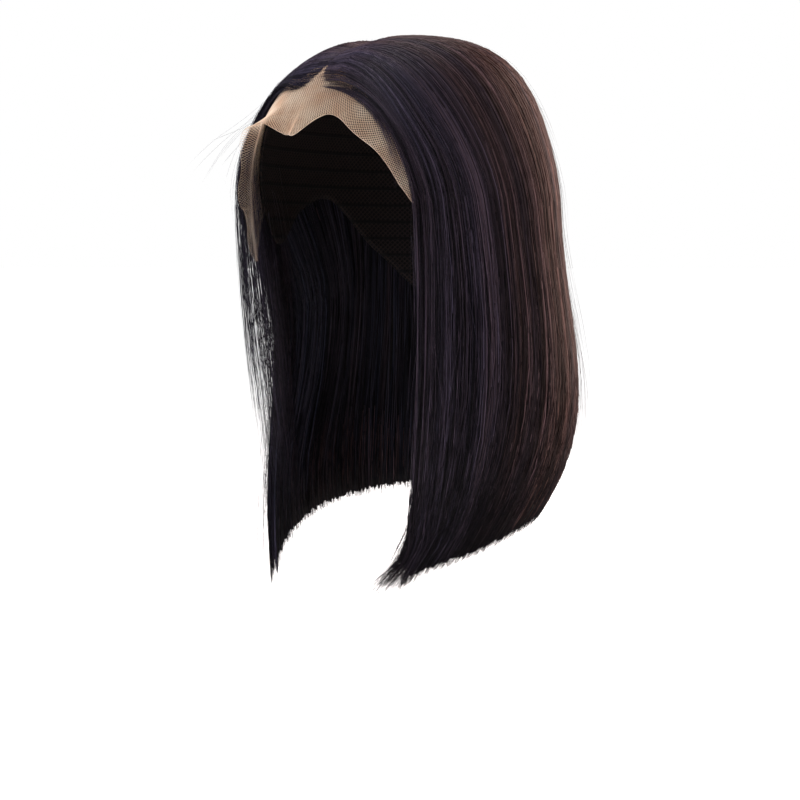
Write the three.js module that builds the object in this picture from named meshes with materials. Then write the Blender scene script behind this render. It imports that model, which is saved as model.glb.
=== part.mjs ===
// A bob wig of real hair on a lace-front cap, in the form that it keeps on a head.
// Millimetres, +Z up. The face looks along -Y, and the wearer's left is +X.
// The origin is the point inside the crown where the top of the head meets the cap.
import * as THREE from "three";
import { mergeVertices } from "three/addons/utils/BufferGeometryUtils.js";

// A table of rows as objects, each value under its column's name.
function table(columns, rows) {
  const names = columns.split(" ");
  return rows.map((row) => Object.fromEntries(names.map((name, i) => [name, row[i]])));
}

// Driving dimensions

// Inside of the cap: half breadth, vertex to forehead, vertex to occiput, vertex to widest level.
// The fullness is the superellipsoid's exponent: 2 is a plain ellipsoid, more is squarer.
const HEAD = { side: 78, front: 94, back: 98, crown: 98, fullness: 2.2 };
// Below the widest level the head goes straight down and draws in towards the nape.
const BELOW = { mmPerDegree: 1.6, tuck: 0.1, tuckDegrees: 40 };

const CAP_WALL = 1.5;
const LACE_WALL = 1;
const LACE_GAP = 0.4;
const HAIR_GAP = 0.7;
const LACE_SEAT = CAP_WALL + LACE_GAP;
// The hair sits on the lace near the front edges, and on the cap from there to the back.
// Lace reach is where it steps down, as shares of the way round from a front edge.
const HAIR_SEAT = { onLace: LACE_SEAT + LACE_WALL + HAIR_GAP, onCap: CAP_WALL + HAIR_GAP };
const LACE_REACH = { from: 0.18, to: 0.25 };
// The outside of the hair lies close to the head at the parting and rises on its way down.
// A rise of 1 is even, and more is later.
const ROOT_LIFT = 4.9;
const LIFT_RISE = 1.4;
// Over the crown it swells as well, up to this share of the way from the parting to where it hangs.
const SWELL_END = 0.9;
const HEM_THICKNESS = 4;

// The parting runs over the crown in the middle plane, in degrees forward of the vertex.
const PARTING = { front: 50, back: -16, halfWidth: 1.4 };

// The cap's rim, by plan angle from the face, in degrees from the vertex down the head.
const CAP_RIM = table("plan rim", [
  [0, 38],
  [30, 46],
  [52, 66],
  [64, 92],
  [74, 104],
  [88, 90],
  [104, 86],
  [122, 104],
  [146, 124],
  [180, 128],
]);
const CAP_GRID = { columns: 40, rows: 9 };

// The lace front, from the right ear tab to the left one. Along is the share of the hairline
// from the parting (0) to the temple (1), and past 1 the lace goes down in front of the ear.
// Width runs from the hairline to the cut edge, back runs under the hair, lift is the edge's curl.
// A width below 0 ends the lace under the hair, where its edge has no curl.
const LACE_SECTIONS = table("along width back lift", [
  [-1.45, 1, 6, 0.5],
  [-1.0, 9, 22, 4],
  [-0.6, 5, 20, 8],
  [-0.4, 14, 21, 7],
  [-0.25, 21, 22, 6],
  [-0.1, 27.5, 25, 4],
  [0.0, 30, 26, 4],
  [0.08, 29.5, 26, 4],
  [0.2, 17, 24, 2],
  [0.27, 14.5, 23, 2],
  [0.5, 16, 20, 2.5],
  [0.7, 11.5, 20, 2],
  [0.9, 6, 21, 1],
  [1.0, 2, 22, 0.5],
  [1.1, -2, 18, 0.4],
  [1.45, -3, 6, 0.3],
]);
const LACE_CURL_LEAST = 0.2;
const LACE_GRID = { columns: 46, rows: 5 };
const LACE_DROP_DEGREES = 46;

// The falls of hair, from the left front edge round the back to the right front edge.
// Root is the share of the parting where a section starts, plan the angle from the face at which
// it hangs, lift its height off the head there, swell its extra height over the crown, and bow how
// far its way down arches to the back.
// Out and forward are shifts of the hanging length at half height and at the hem, at hemZ.
const HAIR_SECTIONS = table("root plan lift swell bow midOut hemOut midForward hemForward hemZ", [
  [0.0, 52, 10, 0, 0.16, 2, -23, 3, 6.5, -316],
  [0.12, 72, 13, 2, 0.08, 5, -15.5, 5, 22, -306],
  [0.35, 97, 14, 5, 0.03, 9, -7, 7, 34, -298],
  [0.65, 124, 12.5, 6.5, 0, 13.5, 2.5, 5, 24, -287],
  [0.95, 152, 13.5, 6, 0, 11.5, 0.5, 2, 10, -281],
  [1.0, 180, 14, 5.5, 0, 9, -5, 0, 0, -278],
  [0.95, 208, 14, 5, 0, 10, -3, 2, 6, -281],
  [0.65, 236, 13, 3, 0, 10, -5, 4, 14, -286],
  [0.35, 263, 12, 0, 0.02, 4, -14, 5, 16, -296],
  [0.12, 288, 11, 0, 0.06, -2, -22, 0, 15, -313],
  [0.0, 308, 11, 0, 0.16, -6, -28, -3, 12, -333],
]);

// Where the side falls end and the back fall begins, as shares of the way round.
const FALLS = [
  { name: "hair_left", from: 0, to: 0.3, locks: 10 },
  { name: "hair_back", from: 0.302, to: 0.698, locks: 12 },
  { name: "hair_right", from: 0.7, to: 1, locks: 10 },
];
// A lock is a rounded strip of the fall: its ridge grows from the root to the hem, and its end is
// cut to a point that stands below the notches on both sides of it.
const LOCK = { columns: 4, rootRidge: 0.3, hemRidge: 2.2, notch: 9, stagger: 4, staggerTurn: 2.4 };
const FALL_ROWS = { crown: 9, hanging: 7 };

const HAIR_COLOUR = 0x1d1512;
const LACE_COLOUR = 0xdcb896;
const CAP_COLOUR = 0x17120f;

// Tables

// The row of a table at any place between its rows, smooth in every column.
function rowAt(rows, place) {
  const last = rows.length - 1;
  const first = Math.min(Math.floor(place), last - 1);
  const share = place - first;
  const near = [-1, 0, 1, 2].map((step) => THREE.MathUtils.clamp(first + step, 0, last));
  const [before, from, to, after] = near.map((index) => rows[index]);
  const row = {};
  for (const column of Object.keys(from)) {
    const [a, b, c, d] = [before[column], from[column], to[column], after[column]];
    const bend = 2 * a - 5 * b + 4 * c - d + (3 * b - a - 3 * c + d) * share;
    row[column] = b + 0.5 * share * (c - a + share * bend);
  }
  return row;
}

// The row of a table whose first column, named by key, has the value asked for.
function rowWhere(rows, key, value) {
  const next = rows.findIndex((row) => row[key] >= value);
  if (next <= 0) return rowAt(rows, next < 0 ? rows.length - 1 : 0);
  const [low, high] = [rows[next - 1][key], rows[next][key]];
  return rowAt(rows, next - 1 + (value - low) / (high - low));
}

// The head under the wig

function headPoint(direction, lift) {
  const power = HEAD.fullness;
  const total = direction.toArray().reduce((sum, part) => sum + Math.abs(part) ** power, 0);
  const point = direction.clone().divideScalar(total ** (1 / power));
  const depth = direction.y < 0 ? HEAD.front : HEAD.back;
  point.multiply(new THREE.Vector3(HEAD.side + lift, depth + lift, HEAD.crown + lift));
  point.z -= HEAD.crown;
  return point;
}

// A point by plan angle from the face and by degrees from the vertex, past 90 below the widest level.
function headAt(planDegrees, polarDegrees, lift) {
  const plan = THREE.MathUtils.degToRad(planDegrees);
  const polar = THREE.MathUtils.degToRad(Math.min(polarDegrees, 90));
  const level = Math.sin(polar);
  const direction = new THREE.Vector3(level * Math.sin(plan), -level * Math.cos(plan), Math.cos(polar));
  const point = headPoint(direction, lift);
  const below = Math.max(polarDegrees - 90, 0);
  const draw = 1 - BELOW.tuck * (below / BELOW.tuckDegrees) ** 2;
  return new THREE.Vector3(point.x * draw, point.y * draw, point.z - below * BELOW.mmPerDegree);
}

// The direction from the head's centre along a section's way, from the parting (0) to where it hangs (1).
function crownDirection(section, share) {
  const tilt = THREE.MathUtils.degToRad(THREE.MathUtils.lerp(PARTING.front, PARTING.back, section.root));
  const plan = THREE.MathUtils.degToRad(section.plan);
  const root = new THREE.Vector3(0, -Math.sin(tilt), Math.cos(tilt));
  const hang = new THREE.Vector3(Math.sin(plan), -Math.cos(plan), 0);
  const angle = root.angleTo(hang);
  const back = new THREE.Vector3().crossVectors(root, hang).normalize();
  if (back.z < 0) back.negate();
  const start = PARTING.halfWidth / (angle * HEAD.crown);
  const way = start + (1 - start) * share;
  return root
    .multiplyScalar(Math.sin((1 - way) * angle) / Math.sin(angle))
    .addScaledVector(hang, Math.sin(way * angle) / Math.sin(angle))
    .addScaledVector(back, section.bow * Math.sin(Math.PI * way))
    .normalize();
}

// Solids

// A closed solid between two grids of points, each a list of columns of equal length.
function closedSheet(outer, inner, wraps) {
  const corners = [];
  const face = (a, b, c, d) => corners.push(a, b, c, a, c, d);
  const rows = outer[0].length;
  const spans = wraps ? outer.length : outer.length - 1;
  for (let i = 0; i < spans; i++) {
    const next = (i + 1) % outer.length;
    for (let j = 0; j < rows - 1; j++) {
      face(outer[i][j], outer[i][j + 1], outer[next][j + 1], outer[next][j]);
      face(inner[i][j], inner[next][j], inner[next][j + 1], inner[i][j + 1]);
    }
    face(outer[i][0], outer[next][0], inner[next][0], inner[i][0]);
    face(outer[i][rows - 1], inner[i][rows - 1], inner[next][rows - 1], outer[next][rows - 1]);
  }
  const end = outer.length - 1;
  for (let j = 0; !wraps && j < rows - 1; j++) {
    face(outer[0][j], inner[0][j], inner[0][j + 1], outer[0][j + 1]);
    face(outer[end][j], outer[end][j + 1], inner[end][j + 1], inner[end][j]);
  }
  const merged = mergeVertices(new THREE.BufferGeometry().setFromPoints(corners), 1e-3);
  const kept = [];
  for (let i = 0; i < merged.index.count; i += 3) {
    const [a, b, c] = [0, 1, 2].map((corner) => merged.index.getX(i + corner));
    if (a !== b && b !== c && c !== a) kept.push(a, b, c);
  }
  merged.setIndex(kept);
  merged.computeVertexNormals();
  return merged;
}

// Even shares from 0 to 1.
const steps = (count) => Array.from({ length: count + 1 }, (_, i) => i / count);

// The cap: a dome over the whole head, its rim cut up over the ears and down to the nape.
function capGeometry() {
  const around = steps(CAP_GRID.columns).slice(0, -1);
  const wall = (lift) =>
    around.map((turn) => {
      const fromFace = 180 - Math.abs(180 - 360 * turn);
      const { rim } = rowWhere(CAP_RIM, "plan", fromFace);
      return steps(CAP_GRID.rows).map((share) => headAt(360 * turn, rim * share, lift));
    });
  return closedSheet(wall(CAP_WALL), wall(0), true);
}

// The hairline as plan and polar angles: over the forehead, then straight down in front of the ear.
function hairlineAt(along) {
  const section = HAIR_SECTIONS[0];
  const direction = crownDirection(section, Math.min(Math.abs(along), 1));
  const plan = THREE.MathUtils.radToDeg(Math.atan2(direction.x, -direction.y)) * Math.sign(along);
  const polar = THREE.MathUtils.radToDeg(Math.acos(direction.z));
  return { plan, polar: polar + Math.max(Math.abs(along) - 1, 0) * LACE_DROP_DEGREES };
}

// A point on the lace, from its cut edge (0) across the hairline to its back edge (1).
function lacePoint(along, across, lift) {
  const nudge = 0.02;
  const section = rowWhere(LACE_SECTIONS, "along", along);
  const here = hairlineAt(along);
  const [before, after] = [hairlineAt(along - nudge), hairlineAt(along + nudge)];
  const girth = Math.sin(THREE.MathUtils.degToRad(Math.min(here.polar, 90)));
  const run = new THREE.Vector2((after.plan - before.plan) * girth, after.polar - before.polar).normalize();
  const ahead = THREE.MathUtils.lerp(section.width, -section.back, across);
  const curl = (Math.max(ahead, 0) / Math.max(section.width, LACE_CURL_LEAST)) ** 2 * section.lift;
  const degrees = ahead / BELOW.mmPerDegree;
  const plan = here.plan - (run.y * degrees) / girth;
  return headAt(plan, here.polar + run.x * degrees, lift + curl);
}

function laceGeometry() {
  const reach = LACE_SECTIONS.at(-1).along;
  const wall = (lift) =>
    steps(LACE_GRID.columns).map((share) => {
      const along = THREE.MathUtils.lerp(-reach, reach, share);
      return steps(LACE_GRID.rows).map((across) => lacePoint(along, 1 - across, lift));
    });
  return closedSheet(wall(LACE_SEAT + LACE_WALL), wall(LACE_SEAT), false);
}

// The shift of a hanging length: none at the top, then through its middle and hem values.
const shiftAt = (drop, middle, hem) => drop * drop * (8 * middle - hem + 2 * (hem - 4 * middle) * drop);

// The height of the hair's inside above the head, by the share of the way round.
function seatAt(turn) {
  const fromFront = Math.min(turn, 1 - turn);
  const step = THREE.MathUtils.smoothstep(fromFront, LACE_REACH.from, LACE_REACH.to);
  return THREE.MathUtils.lerp(HAIR_SEAT.onLace, HAIR_SEAT.onCap, step);
}

// One column of a fall, from the parting over the crown and down to the hem, outside and inside.
function fallColumn(turn, lock) {
  const section = rowAt(HAIR_SECTIONS, turn * (HAIR_SECTIONS.length - 1));
  const seat = seatAt(turn);
  const phase = lock - Math.floor(lock);
  const round = Math.sqrt(1 - (2 * phase - 1) ** 2);
  const ridgeAt = (share) => round * THREE.MathUtils.lerp(LOCK.rootRidge, LOCK.hemRidge, share);
  const stagger = LOCK.stagger * Math.sin(LOCK.staggerTurn * Math.floor(lock));
  const hemZ = section.hemZ + LOCK.notch * (1 - round) + stagger;
  const plan = THREE.MathUtils.degToRad(section.plan);
  const outward = new THREE.Vector3(Math.sin(plan), -Math.cos(plan), 0);
  const outer = [];
  const inner = [];
  for (const share of steps(FALL_ROWS.crown)) {
    const direction = crownDirection(section, share);
    const lift = THREE.MathUtils.lerp(ROOT_LIFT, section.lift, share ** LIFT_RISE);
    const swell = section.swell * Math.sin(Math.PI * Math.min(share / SWELL_END, 1)) ** 3;
    outer.push(headPoint(direction, lift + swell + ridgeAt(share / 2)));
    inner.push(headPoint(direction, seat));
  }
  const start = headPoint(outward, section.lift);
  for (const drop of steps(FALL_ROWS.hanging).slice(1)) {
    const thickness = THREE.MathUtils.lerp(section.lift - seat, HEM_THICKNESS, drop);
    const middle = start.clone().addScaledVector(outward, shiftAt(drop, section.midOut, section.hemOut));
    middle.y -= shiftAt(drop, section.midForward, section.hemForward);
    middle.z = THREE.MathUtils.lerp(-HEAD.crown, hemZ, drop);
    outer.push(middle.clone().addScaledVector(outward, ridgeAt((1 + drop) / 2)));
    inner.push(middle.clone().addScaledVector(outward, -thickness));
  }
  return { outer, inner };
}

// A whole fall: it begins and ends half way through a lock, where the lock is highest.
function fallGeometry({ from, to, locks }) {
  const columns = steps(locks * LOCK.columns).map((share) =>
    fallColumn(THREE.MathUtils.lerp(from, to, share), 0.5 + share * locks),
  );
  return closedSheet(
    columns.map((column) => column.outer),
    columns.map((column) => column.inner),
    false,
  );
}

// Assembly

const hair = new THREE.MeshStandardMaterial({ color: HAIR_COLOUR, roughness: 0.4, metalness: 0 });
const lace = new THREE.MeshStandardMaterial({ color: LACE_COLOUR, roughness: 0.85, metalness: 0 });
const net = new THREE.MeshStandardMaterial({ color: CAP_COLOUR, roughness: 0.9, metalness: 0 });

function piece(name, geometry, material) {
  const mesh = new THREE.Mesh(geometry, material);
  mesh.name = name;
  return mesh;
}

const wig = new THREE.Group();
wig.name = "wig";
wig.add(piece("cap", capGeometry(), net));
wig.add(piece("lace_front", laceGeometry(), lace));
for (const fall of FALLS) wig.add(piece(fall.name, fallGeometry(fall), hair));

export default wig;
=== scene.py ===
"""The looks of a bob wig of real hair: a net cap, a lace front and falls of strands.

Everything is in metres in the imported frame: +Z up, the front looks along -Y, the wearer's left is +X,
and the origin is the point inside the crown where the head meets the cap.
"""

from __future__ import annotations

import logging
import math
from dataclasses import astuple, dataclass, field
from enum import Enum
from functools import cached_property

import bpy
import numpy as np
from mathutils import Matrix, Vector

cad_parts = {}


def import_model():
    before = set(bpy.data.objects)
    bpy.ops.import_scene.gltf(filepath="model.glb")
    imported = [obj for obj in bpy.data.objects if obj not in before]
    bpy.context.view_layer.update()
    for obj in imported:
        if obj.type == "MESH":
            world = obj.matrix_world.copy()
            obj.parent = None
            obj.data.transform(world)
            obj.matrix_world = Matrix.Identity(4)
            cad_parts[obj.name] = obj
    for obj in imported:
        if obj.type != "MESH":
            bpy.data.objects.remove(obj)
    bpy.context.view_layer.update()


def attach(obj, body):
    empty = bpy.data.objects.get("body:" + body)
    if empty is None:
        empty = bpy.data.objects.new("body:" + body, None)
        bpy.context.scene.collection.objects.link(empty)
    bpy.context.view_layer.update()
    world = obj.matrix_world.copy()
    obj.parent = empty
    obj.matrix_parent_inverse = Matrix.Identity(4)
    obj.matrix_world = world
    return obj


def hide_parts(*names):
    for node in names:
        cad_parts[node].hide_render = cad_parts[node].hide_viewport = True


log = logging.getLogger("wig")

# One number or an array of them
Values = np.ndarray | float
# A range, or two values that belong together
Pair = tuple[float, float]

MM = 0.001
TINY = 1e-12
BODY = "root"
STRAND_COLOUR_AND_LIGHT = "strand_colour_and_light"
WHITE = (1.0, 1.0, 1.0, 1.0)
# Points of a sheet that lie closer than this are merged
MERGE = 0.02 * MM
# The degrees round a tube at which its edges lie
TUBE_EDGES = (90.0, 210.0, 330.0)
# The radians that the wave texture turns in one unit at a scale of 1
WAVE_TURN = 20.0


class Slot(Enum):
    """The record's material slots."""

    HAIR = "hair"
    LACE = "lace"
    CAP = "cap_net"


# Small helpers


def linear(hex_colour: str) -> tuple[float, float, float, float]:
    """Turn an sRGB hex colour into linear RGBA.

    Args:
        hex_colour: a colour such as "#1d1512".

    Returns:
        Linear red, green, blue and an alpha of 1.
    """
    channels = [int(hex_colour[i : i + 2], 16) / 255 for i in (1, 3, 5)]
    red, green, blue = (c / 12.92 if c <= 0.04045 else ((c + 0.055) / 1.055) ** 2.4 for c in channels)
    return (red, green, blue, 1.0)


def mix(low: Values, high: Values, share: Values) -> Values:
    """Blend from low (share 0) to high (share 1)."""
    return low + (high - low) * share


def smooth_step(values: np.ndarray, low: float, high: float) -> np.ndarray:
    """Rise smoothly from 0 at low to 1 at high."""
    share = np.clip((values - low) / (high - low), 0.0, 1.0)
    return share * share * (3.0 - 2.0 * share)


def behind_front(turn: Values) -> Values:
    """Give how far a place round the head is from the nearer front edge."""
    return np.minimum(turn, 1.0 - turn)


def between(table: np.ndarray, place: np.ndarray) -> np.ndarray:
    """Read a table between its rows on a smooth curve through them.

    Args:
        table: one row for each section.
        place: row numbers, which need not be whole.

    Returns:
        An array of the shape of place with the table's columns as the last axis.
    """
    last = len(table) - 1
    first = np.clip(np.floor(place).astype(int), 0, last - 1)
    share = (place - first)[..., None]
    a, b, c, d = (table[np.clip(first + step, 0, last)] for step in (-1, 0, 1, 2))
    bend = 2 * a - 5 * b + 4 * c - d + (3 * b - a - 3 * c + d) * share
    return b + 0.5 * share * (c - a + share * bend)


def unit(vectors: np.ndarray) -> np.ndarray:
    """Give each vector a length of 1."""
    return vectors / np.maximum(np.linalg.norm(vectors, axis=-1, keepdims=True), TINY)


def noise_along(seed: int, knots: int, place: np.ndarray) -> np.ndarray:
    """Read seeded noise with evenly spaced knots.

    Args:
        seed: the noise's seed.
        knots: knots from 0 to 1.
        place: where to read, from 0 to 1.

    Returns:
        Values with a spread of about 1.
    """
    values = np.random.default_rng(seed).standard_normal(knots + 1)
    return np.interp(place * knots, np.arange(knots + 1), values)


def add_node(
    tree: bpy.types.NodeTree, kind: str, settings: dict | None = None, links: dict | None = None
) -> bpy.types.Node:
    """Add a shader node with its settings and links.

    Args:
        tree: the node tree that gets the node.
        kind: the node's type, such as "ShaderNodeBump".
        settings: property names, or input names and numbers, with their values.
        links: input names or numbers, with the output socket that each takes.

    Returns:
        The new node.
    """
    node = tree.nodes.new(kind)
    for key, value in (settings or {}).items():
        if isinstance(key, str) and hasattr(node, key):
            setattr(node, key, value)
        else:
            node.inputs[key].default_value = value
    for key, socket in (links or {}).items():
        tree.links.new(socket, node.inputs[key])
    return node


def new_material(
    name: str, settings: dict
) -> tuple[bpy.types.Material, bpy.types.NodeTree, bpy.types.Node]:
    """Make a material with an empty tree and a Principled shader on its output.

    Args:
        name: the material's name.
        settings: the shader's inputs that are the same all over, with their values.

    Returns:
        The material, its tree and the shader node.
    """
    material = bpy.data.materials.new(name)
    material.use_nodes = True
    tree = material.node_tree
    tree.nodes.clear()
    shader = add_node(tree, "ShaderNodeBsdfPrincipled", settings)
    add_node(tree, "ShaderNodeOutputMaterial", links={"Surface": shader.outputs[0]})
    return material, tree, shader


def dress(piece: bpy.types.Object, slot: Slot, material: bpy.types.Material, *nodes: str) -> None:
    """Give a piece its material and body, and hide the frame's nodes that it stands for.

    Args:
        piece: the finished object.
        slot: the record's slot; not used.
        material: the piece's finish.
        nodes: the frame's nodes that the piece replaces.
    """
    piece.data.materials.clear()
    piece.data.materials.append(material)
    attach(piece, BODY)
    if nodes:
        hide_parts(*nodes)
    log.info("%s: %d faces", piece.name, len(piece.data.polygons))


# The head and the way that hair lies on it


@dataclass(frozen=True)
class Head:
    """The head that the cap is made for: a rounded form, widest one crown height below the vertex."""

    side: float = 78 * MM
    front: float = 94 * MM
    back: float = 98 * MM
    crown: float = 98 * MM
    fullness: float = 2.2
    per_degree: float = 1.6 * MM
    tuck: float = 0.1
    tuck_degrees: float = 40.0

    def point(self, direction: np.ndarray, lift: Values) -> np.ndarray:
        """Find points on or above the head.

        Args:
            direction: unit vectors from the head's centre, not below its widest level.
            lift: heights above the head, one for each direction or one for all.

        Returns:
            The points.
        """
        total = (np.abs(direction) ** self.fullness).sum(-1, keepdims=True)
        on_unit = direction / total ** (1 / self.fullness)
        depth = np.where(direction[..., 1] < 0, self.front, self.back)
        reach = np.stack(np.broadcast_arrays(self.side + lift, depth + lift, self.crown + lift), -1)
        return on_unit * reach - np.array([0.0, 0.0, self.crown])

    def at(self, plan: np.ndarray, polar: np.ndarray, lift: Values) -> np.ndarray:
        """Find points by angles, also below the widest level.

        Args:
            plan: degrees round from the front.
            polar: degrees down from the vertex. Past 90 the head goes down and draws in.
            lift: heights above the head.

        Returns:
            The points.
        """
        level = np.radians(np.minimum(polar, 90.0))
        round_ = np.radians(plan)
        ring = np.sin(level)
        direction = np.stack([ring * np.sin(round_), -ring * np.cos(round_), np.cos(level)], -1)
        points = self.point(direction, lift)
        below = np.maximum(polar - 90.0, 0.0)
        draw = 1.0 - self.tuck * (below / self.tuck_degrees) ** 2
        points[..., :2] *= draw[..., None]
        points[..., 2] -= below * self.per_degree
        return points


@dataclass(frozen=True)
class Section:
    """One section of hair: lengths in millimetres, angles in degrees.

    Root is its share of the parting, plan the angle from the front at which it hangs, lift its height
    off the head there, swell its extra height over the crown and bow how far it arches to the back. Out
    and forward shift the hanging length at half height and at the hem.
    """

    root: float
    plan: float
    lift: float
    swell: float
    bow: float
    mid_out: float
    hem_out: float
    mid_forward: float
    hem_forward: float
    hem_z: float


@dataclass(frozen=True)
class HairFlow:
    """The way that hair lies: over the crown (way 0 to 1), then hanging down to the hem (1 to 2).

    Turn goes from the left front edge (0) round the back to the right front edge (1). Depth goes from
    the outside of a fall (0) to its inside (1). Ease rounds the corner where hair leaves the crown, fan
    spreads hair from the parting, comb takes the right front back and its tips forward again, flick throws
    the left tips forward, recess draws the right hairline back at the temple, and bare keeps the left and
    right hair off the place where the parting meets the forehead.
    """

    head: Head = Head()
    parting: Pair = (50.0, -16.0)
    parting_half: float = 1.4 * MM
    parting_reach: float = 0.02
    root_lift: float = 4.9 * MM
    rise: float = 1.4
    swell_end: float = 0.9
    seat_on_lace: float = 3.6 * MM
    seat_on_cap: float = 2.2 * MM
    lace_reach: Pair = (0.18, 0.25)
    hem_thickness: float = 4.0 * MM
    girth: float = 470 * MM
    ease: float = 0.5
    edge_ease: float = 0.4
    edge_reach: float = 0.08
    lean_step: float = 0.004
    lean_count: int = 101
    comb_from: float = 0.7
    comb_back: float = 0.125
    comb_back_way: Pair = (0.85, 1.35)
    comb_forward: float = 0.85
    comb_forward_way: Pair = (1.5, 2.05)
    fan: float = 0.4
    fan_middle: float = 0.24
    fan_edge: float = 0.035
    fan_back: float = 0.2
    fan_end: float = 0.67
    fan_tail: float = 0.12
    fan_tail_way: Pair = (0.9, 1.5)
    flick: float = 0.068
    flick_reach: float = 0.166
    flick_way: Pair = (1.9, 2.06)
    recess: float = 0.085
    recess_from: float = 0.85
    recess_starts: Pair = (0.08, 0.3)
    recess_ends: Pair = (0.4, 0.75)
    bare_front: Pair = (0.24, 0.15)
    bare_reach: float = 0.032
    sections: tuple[Section, ...] = (
        Section(0.0, 52, 10, 0, 0.16, 2, -23, 3, 6.5, -316),
        Section(0.12, 72, 13, 2, 0.08, 5, -15.5, 5, 22, -306),
        Section(0.35, 97, 14, 5, 0.03, 9, -7, 7, 34, -298),
        Section(0.65, 124, 12.5, 6.5, 0, 13.5, 2.5, 5, 24, -287),
        Section(0.95, 152, 13.5, 6, 0, 11.5, 0.5, 2, 10, -281),
        Section(1.0, 180, 14, 5.5, 0, 9, -5, 0, 0, -278),
        Section(0.95, 208, 14, 5, 0, 10, -3, 2, 6, -281),
        Section(0.65, 236, 13, 3, 0, 10, -5, 4, 14, -286),
        Section(0.35, 263, 12, 0, 0.02, 4, -14, 5, 16, -296),
        Section(0.12, 288, 11, 0, 0.06, -2, -22, 0, 15, -313),
        Section(0.0, 308, 11, 0, 0.16, -6, -28, -3, 12, -333),
    )

    @property
    def plan_span(self) -> float:
        """Give the degrees from the left front edge round the back to the right one."""
        return self.sections[-1].plan - self.sections[0].plan

    def direction(
        self, root: np.ndarray, plan: np.ndarray, bow: np.ndarray, share: np.ndarray, half: float
    ) -> np.ndarray:
        """Find the direction from the head's centre along a section's way over the crown.

        Args:
            root: shares of the parting.
            plan: hanging angles, in radians from the front.
            bow: arch to the back.
            share: shares of the way from the parting to where the hair hangs.
            half: how far from the middle of the parting the way starts.

        Returns:
            Unit vectors.
        """
        tilt = np.radians(mix(self.parting[0], self.parting[1], root))
        zero = np.zeros_like(tilt)
        start = np.stack([zero, -np.sin(tilt), np.cos(tilt)], -1)
        end = np.stack([np.sin(plan), -np.cos(plan), zero], -1)
        angle = np.arccos(np.clip((start * end).sum(-1), -1.0, 1.0))
        arch = unit(np.cross(start, end))
        arch *= np.where(arch[..., 2:] < 0, -1.0, 1.0)
        skipped = half / (angle * self.head.crown)
        way = skipped + (1.0 - skipped) * share
        from_start = np.sin((1.0 - way) * angle) / np.sin(angle)
        from_end = np.sin(way * angle) / np.sin(angle)
        lean = bow * np.sin(np.pi * way)
        return unit(start * from_start[..., None] + end * from_end[..., None] + arch * lean[..., None])

    def seat(self, turn: np.ndarray) -> np.ndarray:
        """Give the height of the hair's inside above the head."""
        step = smooth_step(behind_front(turn), *self.lace_reach)
        return mix(self.seat_on_lace, self.seat_on_cap, step)

    @cached_property
    def leans(self) -> np.ndarray:
        """Measure how fast hair goes round as it leaves the crown, in turns per way, at even turns."""
        step = self.lean_step
        turn = np.linspace(0.0, 1.0, self.lean_count)
        at = self.laid(turn, 1.0)
        run = (at - self.laid(turn, 1.0 - step)) / step
        fall = (self.laid(turn, 1.0 + step) - at) / step
        beside = (self.laid(turn + step, 1.0) - self.laid(turn - step, 1.0)) / (2 * step)
        round_ = (run * beside).sum(-1) / (beside * beside).sum(-1)
        share = fall[:, 2] / (fall[:, 2] + run[:, 2])
        at_edge = mix(self.edge_ease, 1.0, smooth_step(behind_front(turn), 0.0, self.edge_reach))
        return round_ * share * at_edge

    def swing(self, turn: np.ndarray, way: np.ndarray) -> np.ndarray:
        """Ease the corner where hair leaves the crown, as shifts of turn: it keeps some of its lean."""
        lean = np.interp(turn, np.linspace(0.0, 1.0, len(self.leans)), self.leans)
        beyond = np.minimum(np.abs(way - 1.0), self.ease)
        return lean * (beyond - beyond**2 / (2 * self.ease) - self.ease / 4)

    def fanned(self, turn: np.ndarray, way: np.ndarray) -> np.ndarray:
        """Fan the hair out from the middle of each side's parting, as shifts of turn at its roots."""
        from_front = behind_front(turn)
        at_front = smooth_step(from_front, 0.0, self.fan_edge)
        at_ends = at_front * smooth_step(0.5 - from_front, 0.0, self.fan_back)
        early = 1.0 - smooth_step(way, 0.0, self.fan_end)
        late = 1.0 - smooth_step(way, *self.fan_tail_way)
        spread = self.fan * (self.fan_middle - from_front) * at_ends * mix(early, late, self.fan_tail)
        return np.where(turn < 0.5, spread, -spread)

    def receded(self, turn: np.ndarray, way: np.ndarray) -> np.ndarray:
        """Draw the right hairline back at the temple, as shifts of turn."""
        at_temple = smooth_step(way, *self.recess_starts) * (1.0 - smooth_step(way, *self.recess_ends))
        return self.recess * smooth_step(turn, self.recess_from, 1.0) * at_temple

    def bare(self, turn: np.ndarray, wider: float = 1.0) -> np.ndarray:
        """Give how far along the way the lace is bare where the parting meets the forehead.

        Args:
            turn: places round the head.
            wider: how many times wider than usual the bare place reaches.

        Returns:
            The way from the parting to the first hair.
        """
        from_front = behind_front(turn)
        left, right = self.bare_front
        near = 1.0 - smooth_step(from_front, 0.0, self.bare_reach * wider)
        return np.where(turn < 0.5, left, right) * near**2

    def combed(self, turn: np.ndarray, way: np.ndarray) -> np.ndarray:
        """Comb the hair: fanned over the crown, the right front taken back and the tips forward.

        Args:
            turn: places round the head before combing.
            way: how far along the hair.

        Returns:
            The places round the head after combing.
        """
        share = np.maximum(turn - self.comb_from, 0.0) / (1.0 - self.comb_from)
        forward = 1.0 - self.comb_forward * smooth_step(way, *self.comb_forward_way)
        back = self.comb_back * share * smooth_step(way, *self.comb_back_way) * forward
        at_front = 1.0 - smooth_step(turn, 0.0, self.flick_reach)
        flick = self.flick * at_front * smooth_step(way, *self.flick_way)
        return turn + self.fanned(turn, way) - back - flick

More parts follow.
